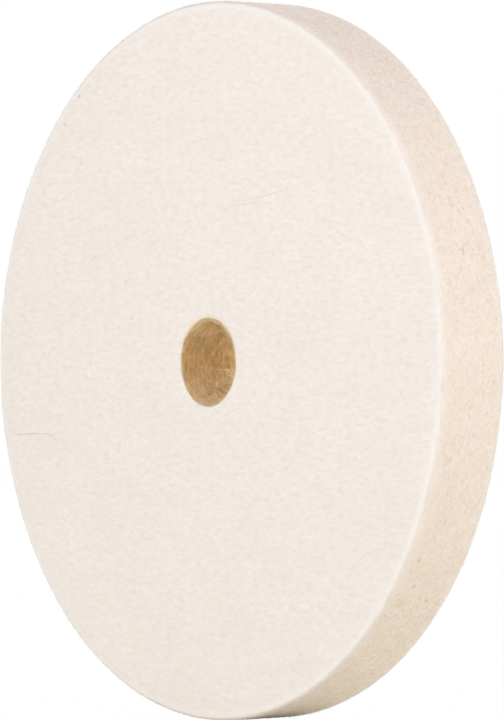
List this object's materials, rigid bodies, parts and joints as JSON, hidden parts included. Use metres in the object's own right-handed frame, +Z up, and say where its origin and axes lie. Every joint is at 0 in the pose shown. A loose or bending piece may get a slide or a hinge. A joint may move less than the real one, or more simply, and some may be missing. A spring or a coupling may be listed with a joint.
{
  "type": "felt polishing wheel",
  "caption": "Flat, square-edged polishing wheel: a thick disc of pressed wool felt with a plain round arbor bore, clamped between spindle flanges to bring stone or metal to a shine.",
  "frame": {"origin": "middle of the wheel, on its spin axis and halfway between its two faces", "axes": "+Y along the spin axis, square to both faces; +Z up, with the wheel upright on its rim; +X across the wheel"},
  "size_m": [0.1016, 0.011, 0.1016],
  "materials": {
    "felt": "matte pressed wool felt, off-white on the faces, beige on the cut rim and tan in the bore"
  },
  "bodies": {
    "root": {"felt_wheel": "felt"}
  },
  "joints": []
}
